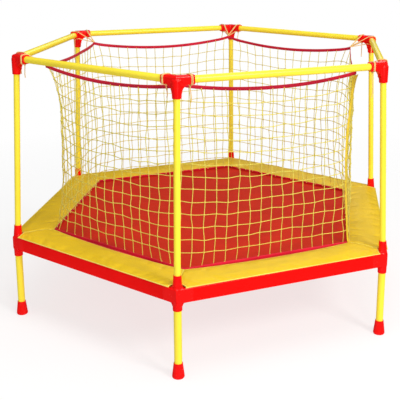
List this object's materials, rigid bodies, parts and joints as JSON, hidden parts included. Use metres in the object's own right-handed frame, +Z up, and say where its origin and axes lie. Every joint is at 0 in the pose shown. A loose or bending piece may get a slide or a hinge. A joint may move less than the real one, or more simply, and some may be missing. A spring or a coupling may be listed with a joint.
{
  "type": "hexagonal safety-net trampoline",
  "caption": "Hexagonal children's trampoline on short legs, with a padded rim, a sprung mat and a safety net inside a ring of posts.",
  "frame": {"origin": "on the floor, under the middle of the mat", "axes": "+Z up; corners 1 and 4 of the frame lie on -Y and +Y"},
  "size_m": [1.6068, 1.848, 1.1554],
  "materials": {
    "red_plastic": "glossy moulded plastic",
    "red_rail": "gloss powder coat on steel tube",
    "red_foot": "moulded plastic foot",
    "yellow_tube": "gloss powder coat on steel tube",
    "steel": "zinc-plated steel",
    "mat_fabric": "tight woven jumping fabric",
    "webbing": "woven webbing",
    "seam_webbing": "woven webbing",
    "pad_cover": "coated fabric over foam, piped edges",
    "net_string": "knotted twine",
    "tie_cord": "braided cord"
  },
  "bodies": {
    "frame": {"top_connector_1": "red_plastic", "top_connector_2": "red_plastic", "top_connector_3": "red_plastic", "top_connector_4": "red_plastic", "top_connector_5": "red_plastic", "top_connector_6": "red_plastic", "top_rail_1": "yellow_tube", "top_rail_2": "yellow_tube", "top_rail_3": "yellow_tube", "top_rail_4": "yellow_tube", "top_rail_5": "yellow_tube", "top_rail_6": "yellow_tube", "post_1": "yellow_tube", "post_2": "yellow_tube", "post_3": "yellow_tube", "post_4": "yellow_tube", "post_5": "yellow_tube", "post_6": "yellow_tube", "base_connector_1": "red_plastic", "base_connector_2": "red_plastic", "base_connector_3": "red_plastic", "base_connector_4": "red_plastic", "base_connector_5": "red_plastic", "base_connector_6": "red_plastic", "base_rail_1": "red_rail", "base_rail_2": "red_rail", "base_rail_3": "red_rail", "base_rail_4": "red_rail", "base_rail_5": "red_rail", "base_rail_6": "red_rail", "leg_1": "yellow_tube", "leg_2": "yellow_tube", "leg_3": "yellow_tube", "leg_4": "yellow_tube", "leg_5": "yellow_tube", "leg_6": "yellow_tube", "foot_1": "red_foot", "foot_2": "red_foot", "foot_3": "red_foot", "foot_4": "red_foot", "foot_5": "red_foot", "foot_6": "red_foot", "rail_tabs": "steel", "springs": "steel", "safety_pad": "pad_cover", "net": "net_string", "net_upper_hem": "webbing", "net_lower_hem": "webbing", "net_seam_band": "seam_webbing", "net_ties": "tie_cord", "tie_tails": "tie_cord"},
    "bed": {"mat": "mat_fabric", "mat_binding": "webbing", "mat_eyelets": "steel"}
  },
  "joints": [
    {"name": "mat_bounce", "type": "slide", "parent": "frame", "child": "bed", "axis": [0, 0, 1], "range_m": [-0.16, 0], "stiffness_N_per_m": 2500, "springref_m": 0.03, "deforming": ["springs"]}
  ]
}
